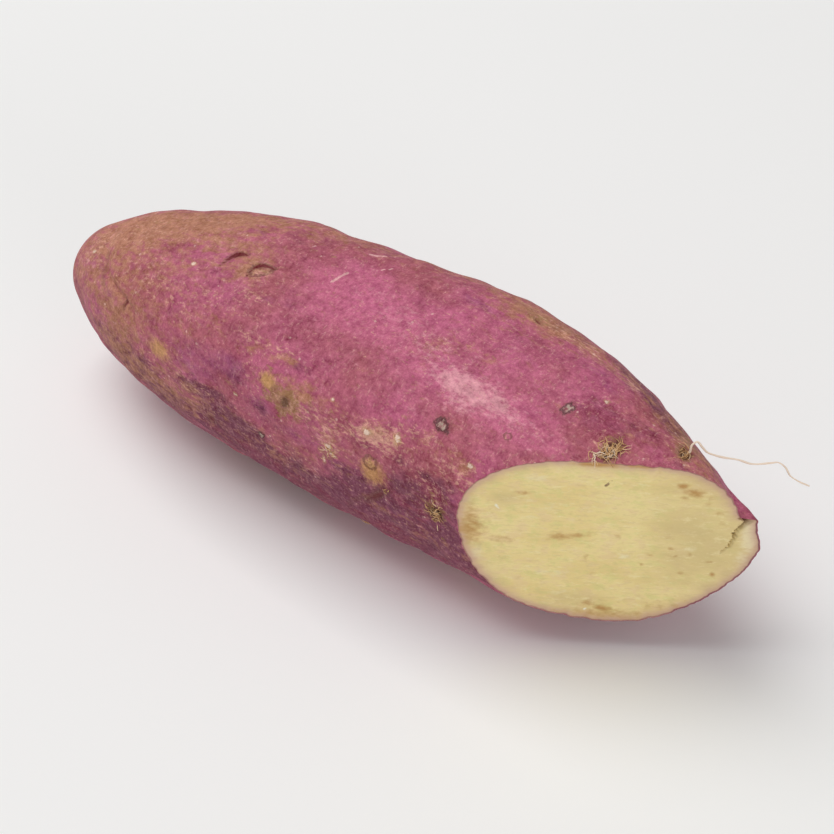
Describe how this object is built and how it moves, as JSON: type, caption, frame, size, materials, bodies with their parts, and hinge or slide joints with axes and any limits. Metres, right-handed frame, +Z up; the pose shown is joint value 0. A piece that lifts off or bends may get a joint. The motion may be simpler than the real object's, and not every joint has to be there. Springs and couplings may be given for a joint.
{
  "type": "sweet potato",
  "caption": "Purple-skinned sweet potato lying on its side, one end cut off at a slant to show the pale flesh, with a thin torn sliver at the cut's edge.",
  "frame": {"origin": "under the middle of the root's bounding box, on the surface that the root lies on", "axes": "+X from the blunt end to the cut end, +Z up, and -Y on the side that the cut face looks towards"},
  "size_m": [0.1652, 0.055, 0.0542],
  "materials": {
    "skin": "dull purple-red root skin with brown cork, eyes and scars",
    "flesh": "pale cream-yellow cut flesh, faintly moist",
    "rootlet": "dry tan root hairs"
  },
  "bodies": {
    "root": {"sweet_potato": "skin"}
  },
  "joints": []
}
